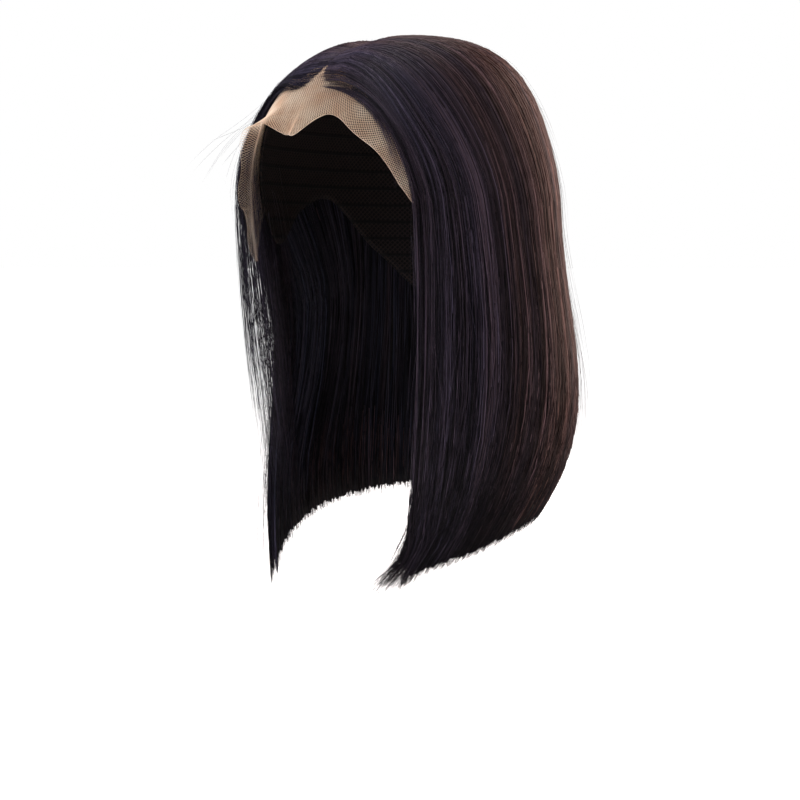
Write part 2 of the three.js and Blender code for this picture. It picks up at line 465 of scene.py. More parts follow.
    def points(
        self, turn: np.ndarray, way: np.ndarray, depth: Values = 0.0, proud: Values = 0.0
    ) -> np.ndarray:
        """Find where hair lies, with its corner below the crown eased. The arguments are those of laid."""
        turn, way = np.broadcast_arrays(turn, way)
        return self.laid(turn + self.swing(turn, way) - self.receded(turn, way), way, depth, proud)

    def laid(self, turn: np.ndarray, way: Values, depth: Values = 0.0, proud: Values = 0.0) -> np.ndarray:
        """Find where hair lies by the sections alone.

        Args:
            turn: shares of the way round.
            way: how far along the hair, from the parting (0) to the hem (2).
            depth: shares of the fall's thickness, from its outside.
            proud: heights outside that.

        Returns:
            The points, with x, y and z as the last axis.
        """
        turn, way, depth, proud = np.broadcast_arrays(turn, way, depth, proud)
        table = np.array([astuple(section) for section in self.sections])
        rows = np.moveaxis(between(table, np.clip(turn, 0.0, 1.0) * (len(table) - 1)), -1, 0)
        root, plan, lift, swell, bow, mid_out, hem_out, mid_forward, hem_forward, hem_z = rows
        beyond = np.where(turn < 0, turn, np.maximum(turn - 1.0, 0.0))
        plan = np.radians(plan + beyond * self.plan_span)
        lift, swell, mid_out, hem_out, mid_forward, hem_forward, hem_z = (
            lengths * MM for lengths in (lift, swell, mid_out, hem_out, mid_forward, hem_forward, hem_z)
        )
        seat = self.seat(turn)
        share = np.clip(way, -self.parting_reach, 1.0)
        risen = np.maximum(share, 0.0)
        outside = mix(self.root_lift, lift, risen**self.rise)
        outside = outside + swell * np.sin(np.pi * np.minimum(risen / self.swell_end, 1.0)) ** 3
        over = self.direction(root, plan, bow, share, self.parting_half)
        on_crown = self.head.point(over, outside - depth * (outside - seat) + proud)
        drop = np.maximum(way - 1.0, 0.0)
        thickness = mix(lift - seat, self.hem_thickness, np.minimum(drop, 1.0))
        out = np.stack([np.sin(plan), -np.cos(plan), np.zeros_like(plan)], -1)
        shift = self.shift(drop, mid_out, hem_out) - depth * thickness + proud
        hanging = self.head.point(out, lift) + out * shift[..., None]
        hanging[..., 1] -= self.shift(drop, mid_forward, hem_forward)
        hanging[..., 2] = mix(-self.head.crown, hem_z, drop)
        return np.where((way <= 1.0)[..., None], on_crown, hanging)

    @staticmethod
    def shift(drop: np.ndarray, middle: np.ndarray, hem: np.ndarray) -> np.ndarray:
        """Shift a hanging length: none at its top, then through its middle and hem values."""
        return drop * drop * (8 * middle - hem + 2 * (hem - 4 * middle) * drop)

    def outward(self, points: np.ndarray) -> np.ndarray:
        """Point away from the head's middle line, and from its centre on the crown."""
        away = points.copy()
        away[..., 2] = np.maximum(points[..., 2] + self.head.crown, 0.0)
        return unit(away)


# Strands and threads as joined tubes


def tube_arrays(
    paths: np.ndarray, radii: np.ndarray, outward: np.ndarray, first: int
) -> tuple[np.ndarray, np.ndarray, np.ndarray]:
    """Make three-sided closed tubes along paths of equal length.

    Args:
        paths: an array of paths, each a row of points.
        radii: the tube's radius at each point.
        outward: a vector at each point that one edge of the tube faces.
        first: the number of the first vertex.

    Returns:
        The vertices, the four-sided faces and the triangles at the ends.
    """
    count, length, _ = paths.shape
    along = unit(np.gradient(paths, axis=1))
    normal = unit(outward - (outward * along).sum(-1, keepdims=True) * along)
    across = np.cross(along, normal)
    turns = np.radians(TUBE_EDGES)
    ring = across[:, :, None] * np.cos(turns)[:, None] + normal[:, :, None] * np.sin(turns)[:, None]
    vertices = (paths[:, :, None] + ring * radii[:, :, None, None]).reshape(-1, 3)
    corner = first + np.arange(count * length * len(turns)).reshape(count, length, len(turns))
    after = np.roll(corner, -1, axis=2)
    quads = np.stack([corner[:, :-1], corner[:, 1:], after[:, 1:], after[:, :-1]], -1).reshape(-1, 4)
    ends = np.concatenate([corner[:, 0], corner[:, -1, ::-1]])
    return vertices, quads, ends


def mesh_object(
    name: str, vertices: np.ndarray, quads: np.ndarray, triangles: np.ndarray
) -> bpy.types.Object:
    """Make an object of joined small pieces from arrays, shaded smooth.

    Args:
        name: the object's name.
        vertices: the points.
        quads: the four-sided faces.
        triangles: the three-sided faces.

    Returns:
        The object, at the origin.
    """
    mesh = bpy.data.meshes.new(name)
    corners = np.concatenate([quads.ravel(), triangles.ravel()]).astype(np.int32)
    starts = np.concatenate([np.arange(len(quads)) * 4, len(quads) * 4 + np.arange(len(triangles)) * 3])
    mesh.vertices.add(len(vertices))
    mesh.vertices.foreach_set("co", vertices.astype(np.float32).ravel())
    mesh.loops.add(len(corners))
    mesh.loops.foreach_set("vertex_index", corners)
    mesh.polygons.add(len(starts))
    mesh.polygons.foreach_set("loop_start", starts.astype(np.int32))
    mesh.update(calc_edges=True)
    mesh.validate()
    mesh.shade_smooth()
    piece = bpy.data.objects.new(name, mesh)
    bpy.context.scene.collection.objects.link(piece)
    return piece


def set_colours(piece: bpy.types.Object, colours: np.ndarray) -> None:
    """Store each vertex's linear colour, which the hair's finish reads."""
    attribute = piece.data.color_attributes.new(STRAND_COLOUR_AND_LIGHT, "FLOAT_COLOR", "POINT")
    full = np.concatenate([colours.reshape(-1, 3), np.ones((colours.size // 3, 1))], -1)
    attribute.data.foreach_set("color", full.astype(np.float32).ravel())


def sheet_grid(name: str, columns: int, rows: int) -> bpy.types.Object:
    """Add a flat grid with a UV map as the start of a sheet.

    Args:
        name: the object's name.
        columns: cells across.
        rows: cells down.

    Returns:
        The object, whose vertices run row by row.
    """
    bpy.ops.object.select_all(action="DESELECT")
    bpy.ops.mesh.primitive_grid_add(x_subdivisions=columns, y_subdivisions=rows, size=1.0)
    piece = bpy.context.active_object
    piece.name = name
    piece.data.name = name
    return piece


def shape_sheet(piece: bpy.types.Object, points: np.ndarray, wall: float, offset: float) -> None:
    """Lay a grid's vertices on points and give the sheet its wall.

    Args:
        piece: the grid.
        points: a place for each vertex, in the grid's order.
        wall: the sheet's thickness.
        offset: 1 to add the wall outside the points, -1 inside.
    """
    piece.data.vertices.foreach_set("co", points.astype(np.float32).ravel())
    piece.data.update()
    bpy.ops.object.mode_set(mode="EDIT")
    bpy.ops.mesh.select_all(action="SELECT")
    bpy.ops.mesh.remove_doubles(threshold=MERGE)
    bpy.ops.mesh.normals_make_consistent(inside=False)
    bpy.ops.object.mode_set(mode="OBJECT")
    solidify = piece.modifiers.new("wall", "SOLIDIFY")
    solidify.thickness = wall
    solidify.offset = offset
    bpy.ops.object.modifier_apply(modifier=solidify.name)
    bpy.ops.object.shade_smooth()


# Finishes


@dataclass(frozen=True)
class RealHair:
    """Straight dark human hair: smooth round strands with a narrow sheen, each of its own shade with painted
    light and shade in it.
    """

    roughness: float = 0.36
    specular: float = 0.1

    def material(self) -> bpy.types.Material:
        """Make the finish, which reads each strand's colour: its own shade with painted light and shade."""
        settings = {"Roughness": self.roughness, "Specular IOR Level": self.specular}
        material, tree, shader = new_material("real_hair_strands", settings)
        shade = add_node(tree, "ShaderNodeAttribute", {"attribute_name": STRAND_COLOUR_AND_LIGHT})
        tree.links.new(shade.outputs["Color"], shader.inputs["Base Color"])
        return material


@dataclass(frozen=True)
class HairBed:
    """The dense hair under the top strands: fine streaks that run along it, dark and a little duller.

    Its dark is partly the hair's own shade and partly painted shade in the gaps between strands. Streaks are
    drawn coarser than single hairs so that they show. Size is the hair's girth and length.
    """

    # Far darker than the strands: partly the hair's own shade, partly painted shade in the gaps between them
    dark: str = "#040406"
    light: str = "#140f10"
    stops: Pair = (0.35, 0.75)
    streak: float = 0.8 * MM
    length: float = 60 * MM
    detail: float = 3.0
    size: Pair = (470 * MM, 340 * MM)
    bump: float = 0.6
    relief: float = 0.4 * MM
    roughness: float = 0.5
    specular: float = 0.15

    def material(self) -> bpy.types.Material:
        """Make the finish, whose streaks follow the sheet's own UV map."""
        settings = {"Roughness": self.roughness, "Specular IOR Level": self.specular}
        material, tree, shader = new_material("real_hair_bed", settings)
        place = add_node(tree, "ShaderNodeTexCoord")
        scale = (self.size[0] / self.streak, self.size[1] / self.length, 1.0)
        mapped = add_node(tree, "ShaderNodeMapping", {"Scale": scale}, {"Vector": place.outputs["UV"]})
        streaks = add_node(
            tree, "ShaderNodeTexNoise", {"Scale": 1.0, "Detail": self.detail}, {"Vector": mapped.outputs[0]}
        )
        ramp = add_node(tree, "ShaderNodeValToRGB", links={"Fac": streaks.outputs[0]})
        for stop, position, shade in zip(ramp.color_ramp.elements, self.stops, (self.dark, self.light)):
            stop.position = position
            stop.color = linear(shade)
        bump = add_node(
            tree,
            "ShaderNodeBump",
            {"Strength": self.bump, "Distance": self.relief},
            {"Height": streaks.outputs[0]},
        )
        tree.links.new(ramp.outputs["Color"], shader.inputs["Base Color"])
        tree.links.new(bump.outputs["Normal"], shader.inputs["Normal"])
        return material


@dataclass(frozen=True)
class LaceThread:
    """Fine polyester net thread, dyed pale tan: matt, with a soft bloom at its edges."""

    pale: str = "#ecd3b4"
    deep: str = "#cfa783"
    stops: Pair = (0.3, 0.7)
    patch: float = 14 * MM
    detail: float = 2.0
    roughness: float = 0.8
    sheen: float = 0.3

    def material(self) -> bpy.types.Material:
        """Make the finish, a little uneven from place to place as dyed net is."""
        settings = {"Roughness": self.roughness, "Sheen Weight": self.sheen}
        material, tree, shader = new_material("tan_lace_thread", settings)
        place = add_node(tree, "ShaderNodeTexCoord")
        uneven = add_node(
            tree,
            "ShaderNodeTexNoise",
            {"Scale": 1 / self.patch, "Detail": self.detail},
            {"Vector": place.outputs["Object"]},
        )
        ramp = add_node(tree, "ShaderNodeValToRGB", links={"Fac": uneven.outputs[0]})
        for stop, position, shade in zip(ramp.color_ramp.elements, self.stops, (self.deep, self.pale)):
            stop.position = position
            stop.color = linear(shade)
        tree.links.new(ramp.outputs["Color"], shader.inputs["Base Color"])
        return material


@dataclass(frozen=True)
class StretchNet:
    """Dark stretch net of the cap: knitted mesh, matt, with rows of stitches that hold the hair.

    The net is drawn coarser than real so that it shows.
    """

    ground: str = "#070606"
    thread: str = "#241b18"
    stitch: str = "#0b0908"
    stops: Pair = (0.6, 0.95)
    row_stops: Pair = (0.88, 0.97)
    pitch: float = 2.2 * MM
    row_pitch: float = 11 * MM
    leans: Pair = (45.0, -45.0)
    row_lean: float = 90.0
    girth_radius: float = 85 * MM
    bump: float = 0.6
    relief: float = 0.4 * MM
    roughness: float = 0.85
    specular: float = 0.2

    def material(self) -> bpy.types.Material:
        """Make the finish: two crossing sets of threads and the rows, laid round the head."""
        settings = {"Roughness": self.roughness, "Specular IOR Level": self.specular}
        material, tree, shader = new_material("dark_stretch_net", settings)
        place = add_node(tree, "ShaderNodeTexCoord")
        axes = add_node(tree, "ShaderNodeSeparateXYZ", links={0: place.outputs["Object"]})
        angle = add_node(
            tree, "ShaderNodeMath", {"operation": "ARCTAN2"}, {0: axes.outputs["X"], 1: axes.outputs["Y"]}
        )
        round_ = add_node(
            tree, "ShaderNodeMath", {"operation": "MULTIPLY", 1: self.girth_radius}, {0: angle.outputs[0]}
        )
        laid = add_node(tree, "ShaderNodeCombineXYZ", links={"X": round_.outputs[0], "Y": axes.outputs["Z"]})
        sets = [self.threads(tree, laid, lean, self.pitch) for lean in self.leans]
        crossed = add_node(tree, "ShaderNodeMath", {"operation": "MAXIMUM"}, {0: sets[0], 1: sets[1]})
        net = add_node(tree, "ShaderNodeValToRGB", links={"Fac": crossed.outputs[0]})
        for stop, position, shade in zip(net.color_ramp.elements, self.stops, (self.ground, self.thread)):
            stop.position = position
            stop.color = linear(shade)
        rows = add_node(
            tree,
            "ShaderNodeMapRange",
            {"From Min": self.row_stops[0], "From Max": self.row_stops[1]},
            {"Value": self.threads(tree, laid, self.row_lean, self.row_pitch)},
        )
        colour = add_node(
            tree,
            "ShaderNodeMix",
            {"data_type": "RGBA", 7: linear(self.stitch)},
            {0: rows.outputs[0], 6: net.outputs["Color"]},
        )
        raised = add_node(
            tree, "ShaderNodeMath", {"operation": "ADD"}, {0: crossed.outputs[0], 1: rows.outputs[0]}
        )
        bump = add_node(
            tree,
            "ShaderNodeBump",
            {"Strength": self.bump, "Distance": self.relief},
            {"Height": raised.outputs[0]},
        )
        tree.links.new(colour.outputs[2], shader.inputs["Base Color"])
        tree.links.new(bump.outputs["Normal"], shader.inputs["Normal"])
        return material

    @staticmethod
    def threads(
        tree: bpy.types.NodeTree, laid: bpy.types.Node, lean: float, pitch: float
    ) -> bpy.types.NodeSocket:
        """Draw one set of even threads.

        Args:
            tree: the material's tree.
            laid: the node that gives the place on the net, in metres.
            lean: the set's turn, in degrees.
            pitch: the distance between threads.

        Returns:
            The socket whose value is highest along the middle of each thread.
        """
        turn = (0.0, 0.0, math.radians(lean))
        turned = add_node(tree, "ShaderNodeMapping", {"Rotation": turn}, {"Vector": laid.outputs[0]})
        scale = 2 * math.pi / (WAVE_TURN * pitch)
        wave = add_node(tree, "ShaderNodeTexWave", {"Scale": scale}, {"Vector": turned.outputs[0]})
        return wave.outputs[1]


# Sub-assemblies


@dataclass
class Cap:
    """The net cap: a dome, its rim cut up over the ears and down to the nape.

    Each row of the rim gives degrees round from the front and degrees down from the vertex.
    """

    head: Head
    wall: float = 1.5 * MM
    columns: int = 120
    rows: int = 36
    rim: tuple[Pair, ...] = (
        (0, 38),
        (30, 46),
        (52, 66),
        (64, 92),
        (74, 104),
        (88, 90),
        (104, 86),
        (122, 104),
        (146, 124),
        (180, 128),
    )

    def rim_at(self, plan: np.ndarray) -> np.ndarray:
        """Give the rim's degrees from the vertex at plan angles from the front."""
        table = np.array(self.rim, float)
        from_middle = 180.0 - np.abs(180.0 - plan)
        return between(table, np.interp(from_middle, table[:, 0], np.arange(len(table))))[..., 1]

    def build(self) -> None:
        """Lay a grid over the head from the vertex to the rim and give it its wall."""
        piece = sheet_grid("cap_net", self.columns, self.rows)
        share, turn = np.meshgrid(
            np.linspace(1.0, 0.0, self.rows + 1), np.linspace(0.0, 1.0, self.columns + 1), indexing="ij"
        )
        points = self.head.at(360.0 * turn, self.rim_at(360.0 * turn) * share, np.zeros_like(turn))
        shape_sheet(piece, points, self.wall, 1.0)
        dress(piece, Slot.CAP, StretchNet().material(), "cap")


@dataclass
class LaceFront:
    """The lace along the forehead: crossing threads from the cut edge back under the hair.

    The threads are drawn coarser than real so that they show, and finer at the right temple, where the
    lace hangs free and is seen through. Each section gives its place along the hairline, then in
    millimetres its width in front of it, its reach back under the hair and its curl off the head.
    """

    flow: HairFlow
    seat: float = 2.4 * MM
    pitch: float = 1.1 * MM
    radius: Pair = (0.16 * MM, 0.05 * MM)
    thin_from: Pair = (0.45, 0.85)
    step: float = 1.6 * MM
    looks: int = 5
    samples: int = 581
    nudge: float = 0.02
    least_width: float = 0.2 * MM
    drop_degrees: float = 46.0
    ripple: float = 1.2 * MM
    ripple_length: float = 34 * MM
    sections: tuple[tuple[float, float, float, float], ...] = (
        (-1.45, 1, 6, 0.5),
        (-1.0, 9, 22, 4),
        (-0.6, 5, 20, 8),
        (-0.4, 14, 21, 7),
        (-0.25, 21, 22, 6),
        (-0.1, 27.5, 25, 4),
        (0.0, 30, 26, 4),
        (0.08, 29.5, 26, 4),
        (0.2, 17, 24, 2),
        (0.27, 14.5, 23, 2),
        (0.5, 16, 20, 2.5),
        (0.7, 11.5, 20, 2),
        (0.9, 6, 21, 1),
        (1.0, 2, 22, 0.5),
        (1.1, -2, 18, 0.4),
        (1.45, -3, 6, 0.3),
    )
    _length: np.ndarray = field(init=False)
    _along: np.ndarray = field(init=False)

    def __post_init__(self) -> None:
        """Measure the hairline, so that threads lie evenly along it."""
        reach = self.sections[-1][0]
        self._along = np.linspace(-reach, reach, self.samples)
        plan, polar = self.hairline(self._along)
        line = self.flow.head.at(plan, polar, np.full_like(plan, self.seat))
        pieces = np.linalg.norm(np.diff(line, axis=0), axis=1)
        self._length = np.concatenate([[0.0], np.cumsum(pieces)])

    def hairline(self, along: np.ndarray) -> tuple[np.ndarray, np.ndarray]:
        """Give the hairline's plan and polar angles, from the parting (0) to the ear tab (past 1)."""
        first = self.flow.sections[0]
        share = np.minimum(np.abs(along), 1.0)
        full = np.ones_like(share)
        plan = math.radians(first.plan) * full
        way = self.flow.direction(first.root * full, plan, first.bow * full, share, 0.0)
        plan = np.degrees(np.arctan2(way[..., 0], -way[..., 1])) * np.sign(along)
        polar = np.degrees(np.arccos(way[..., 2])) + np.maximum(np.abs(along) - 1.0, 0.0) * self.drop_degrees
        return plan, polar

    def section(self, along: np.ndarray) -> np.ndarray:
        """Give width, reach back and curl in metres at places along the hairline."""
        table = np.array(self.sections, float)
        place = np.interp(along, table[:, 0], np.arange(len(table)))
        return between(table, place)[..., 1:] * MM

    def points(self, along: np.ndarray, ahead: np.ndarray) -> np.ndarray:
        """Find points on the lace.

        Args:
            along: places along the hairline.
            ahead: distances in front of the hairline, less than 0 under the hair.

        Returns:
            The points.
        """
        plan, polar = self.hairline(along)
        plan_a, polar_a = self.hairline(along - self.nudge)
        plan_b, polar_b = self.hairline(along + self.nudge)
        ring = np.sin(np.radians(np.minimum(polar, 90.0)))
        run = unit(np.stack([(plan_b - plan_a) * ring, polar_b - polar_a], -1))
        width, _, curl = np.moveaxis(self.section(along), -1, 0)
        edge = np.clip(ahead / np.maximum(width, self.least_width), 0.0, 1.0) ** 2
        length = np.interp(along, self._along, self._length)
        wave = self.ripple * np.sin(length / self.ripple_length * 2 * np.pi) * edge
        degrees = ahead / self.flow.head.per_degree
        return self.flow.head.at(
            plan - run[..., 1] * degrees / ring,
            polar + run[..., 0] * degrees,
            self.seat + edge * curl + wave,
        )

    def thread_radius(self, along: np.ndarray) -> np.ndarray:
        """Give the thread's radius at places along the hairline."""
        return mix(*self.radius, smooth_step(-along, *self.thin_from))

    def runs(self) -> list[tuple[np.ndarray, np.ndarray]]:
        """Lay the two crossing sets of threads and the thread of the cut edge.

        A thread is looked at several times in each step, so that it ends close to the lace's edge.

        Returns:
            For each thread its points and its radius at them.
        """
        total = self._length[-1]
        widest, furthest_back = np.array(self.sections, float)[:, 1:3].max(0) * MM
        gap = self.pitch * math.sqrt(2.0)
        ahead = np.arange(-furthest_back, widest + self.step, self.step / math.sqrt(2.0) / self.looks)
        found = []
        for lean in (1.0, -1.0):
            for start in np.arange(-(widest + furthest_back), total + (widest + furthest_back), gap):
                length = start + lean * ahead
                along = np.interp(length, self._length, self._along)
                width, back, _ = np.moveaxis(self.section(along), -1, 0)
                inside = (length > 0) & (length < total) & (ahead < width) & (ahead > -back)
                for chosen in np.split(np.arange(len(ahead)), np.flatnonzero(np.diff(inside)) + 1):
                    if inside[chosen[0]] and len(chosen) > self.looks:
                        count = 2 + len(chosen) // self.looks
                        kept = np.linspace(chosen[0], chosen[-1], count).astype(int)
                        found.append((self.points(along[kept], ahead[kept]), self.thread_radius(along[kept])))
        edge_length = np.arange(0.0, total, self.step)
        along = np.interp(edge_length, self._length, self._along)
        found.append((self.points(along, self.section(along)[..., 0]), self.thread_radius(along)))
        return found

    def build(self) -> None:
        """Make every thread a closed tube and join them."""
        parts = []
        first = 0
        for run, radius in self.runs():
            path = run[None]
            parts.append(tube_arrays(path, radius[None], self.flow.outward(path), first))
            first += len(parts[-1][0])
        vertices, quads, ends = (np.concatenate(arrays) for arrays in zip(*parts))
        piece = mesh_object("lace_net", vertices, quads, ends)
        dress(piece, Slot.LACE, LaceThread().material(), "lace_front")


@dataclass
class HairSheet:
    """The dense bed of a fall of hair, ridged in locks, that the top strands lie on.

    It starts a little way from the parting and ends short of the hem, more so near the front, both unevenly.
    """

    flow: HairFlow
    node: str
    start: float
    end: float
    seed: int
    columns: int = 170
    rows: int = 40
    depth: float = 0.3
    wall: float = 1.5 * MM
    ridge: float = 0.35 * MM
    ridge_most: float = 1.5
    root: Pair = (0.012, 0.03)
    root_way: float = 0.2
    root_sink: float = 1.1 * MM
    hem: Pair = (1.99, 2.008)
    bare_reach: float = 2.6
    hem_short: float = 0.07
    hem_reach: Pair = (0.02, 0.07)

    def build(self, material: bpy.types.Material) -> None:
        """Lay a grid along the hair, with ridges across it and a ragged hem.

        Args:
            material: the bed's finish.
        """
        rng = np.random.default_rng(self.seed)
        piece = sheet_grid(f"{self.node}_bed", self.columns, self.rows)
        turns = np.linspace(self.start, self.end, self.columns + 1)
        root = mix(*self.root, rng.random(self.columns + 1)) + self.flow.bare(turns, self.bare_reach)
        near_front = 1.0 - smooth_step(behind_front(turns), *self.hem_reach)
        hem = mix(*self.hem, rng.random(self.columns + 1)) - self.hem_short * near_front
        ridges = self.ridge * rng.standard_normal(self.columns + 1).clip(-self.ridge_most, self.ridge_most)
        share = np.linspace(1.0, 0.0, self.rows + 1)[:, None]
        way = mix(root, hem, share)
        up = smooth_step(way, 0.0, self.root_way)
        proud = share * ridges[None] - self.root_sink * (1.0 - up)
        depth = mix(1.0, self.depth, up)
        points = self.flow.points(self.flow.combed(turns[None], way), way, depth, proud)
        shape_sheet(piece, points, self.wall, -1.0)
        dress(piece, Slot.HAIR, material, self.node)


@dataclass(frozen=True)
class HairShades:
    """The shades of natural black hair, with painted light and shade in them, in bands and single strands.

    Blue-black in front and browner behind is partly the hair's own brown-black and partly painted light: a
    painted cool reflection in front and a painted warm backlight behind. Each band has its number of knots
    round the head and its share. Light is a power of e, so that some strands are several times lighter
    than others. Spread gives how far strands differ at the roots, in front and at the back. Roots are
    lighter, a painted sheen. The ends are darker and less brown, painted shade where the hair curls under,
    and the front edges are darker, painted shade. The way down to the hem is darker in front, painted shade,
    and lighter at the back, painted backlight.
    """

    black: str = "#25212a"
    brown: str = "#3e2d2a"
    # Brown in front and behind, and where it turns: partly the hair's own shade, partly a painted cool
    # reflection in front and a painted warm backlight behind
    front: float = 0.08
    back: float = 0.74
    behind: Pair = (0.05, 0.32)
    brown_bands: tuple[tuple[int, float], ...] = ((30, 0.14), (110, 0.16))
    brown_single: float = 0.12
    brown_in_front: float = 0.35
    light_bands: tuple[tuple[int, float], ...] = ((70, 0.15), (430, 0.55))
    light_single: float = 0.75
    light_limits: Pair = (-2.0, 1.5)
    spread: tuple[float, float, float] = (0.45, 1.45, 0.52)
    spread_way: Pair = (0.2, 0.62)
    spread_lift: float = 0.35
    along: float = 0.35
    along_waves: float = 1.4
    along_shift: float = 1.5
    along_noise: tuple[int, int] = (7, 90)
    # Painted sheen: lighter at the roots
    root: float = 0.6
    root_sheen_reach: Pair = (0.02, 0.13)
    # Painted shade towards the hem in front, and painted backlight towards it at the back
    hem: float = 0.6
    backlit_hem: float = 0.5
    hem_behind: Pair = (0.26, 0.42)
    hem_way: Pair = (0.5, 0.9)
    # Painted shade at the ends, where the hair curls under: darker and less brown
    end: float = 1.0
    shaded_end_black: float = 0.85
    shaded_end_from: float = 0.84
    # Painted shade along the front edges
    edge: float = 1.1
    edge_reach: float = 0.025

    @staticmethod
    def banded(bands: tuple[tuple[int, float], ...], turn: np.ndarray) -> np.ndarray:
        """Add up bands of seeded noise round the head."""
        return sum(weight * noise_along(knots, knots, np.clip(turn, 0.0, 1.0)) for knots, weight in bands)

    def at(self, turn: np.ndarray, share: np.ndarray, rng: np.random.Generator) -> np.ndarray:
        """Give each strand's linear colour along its length.

        Args:
            turn: each strand's place round the head, as a column.
            share: shares of each strand's length.
            rng: the strands' own random numbers.

        Returns:
            Red, green and blue as the last axis.
        """
        from_front = behind_front(turn)
        # Browner behind: partly the hair's own shade, partly a painted warm backlight; the blue-black in
        # front is a painted cool reflection
        behind = smooth_step(from_front, *self.behind)
        varied = self.banded(self.brown_bands, turn) + self.brown_single * rng.standard_normal(turn.shape)
        varied = varied * mix(self.brown_in_front, 1.0, behind)
        brown = np.clip(mix(self.front, self.back, behind) + varied, 0.0, 1.0)
        light = self.banded(self.light_bands, turn) + self.light_single * rng.standard_normal(turn.shape)
        at_roots, in_front, at_back = self.spread
        spread = mix(at_roots, mix(in_front, at_back, behind), smooth_step(share, *self.spread_way))
        light = light * spread + self.spread_lift * (1.0 - spread)
        shifted = self.along_shift * noise_along(*self.along_noise, np.clip(turn, 0.0, 1.0))
        phase = 2 * np.pi * (self.along_waves * share + shifted)
        # Painted shade towards the hem in front, and painted backlight towards it at the back
        hem = mix(-self.hem, self.backlit_hem, smooth_step(from_front, *self.hem_behind))
        light = light + self.along * np.sin(phase) + hem * smooth_step(share, *self.hem_way)
        # Painted sheen: lighter at the roots
        light = light + self.root * (1.0 - smooth_step(share, *self.root_sheen_reach))
        # Painted shade at the ends, where the hair curls under: darker and less brown
        at_end = smooth_step(share, self.shaded_end_from, 1.0)
        light = light - self.end * at_end
        brown = brown * (1.0 - self.shaded_end_black * at_end)
        # Painted shade along the front edges
        light = light - self.edge * (1.0 - smooth_step(from_front, 0.0, self.edge_reach))
        black_rgb, brown_rgb = (np.array(linear(shade)[:3]) for shade in (self.black, self.brown))
        power = np.exp(np.clip(light, *self.light_limits))
        return mix(black_rgb, brown_rgb, brown[..., None]) * power[..., None]


@dataclass(frozen=True)
class StrandForm:
    """What all strands share: how they scatter, gather in locks, wander, stand off and taper.

    Wander has two waves sideways, the second shorter and smaller, that grow along the way.
    """

    scatter: float = 0.002
    lock_shift: float = 0.4
    lock_shift_step: float = 7.3
    lock_tip: float = 0.006
    lock_tip_step: float = 2.4
    forehead: Pair = (0.008, 0.04)
    wander: Pair = (1.1, 2.7)
    wander_second: float = 0.5
    wander_growth: float = 1.2
    proud_growth: float = 1.5
    waves: float = 1.9
    full_way: float = 0.7
    taper: float = 6.0
    taper_end: float = 0.12


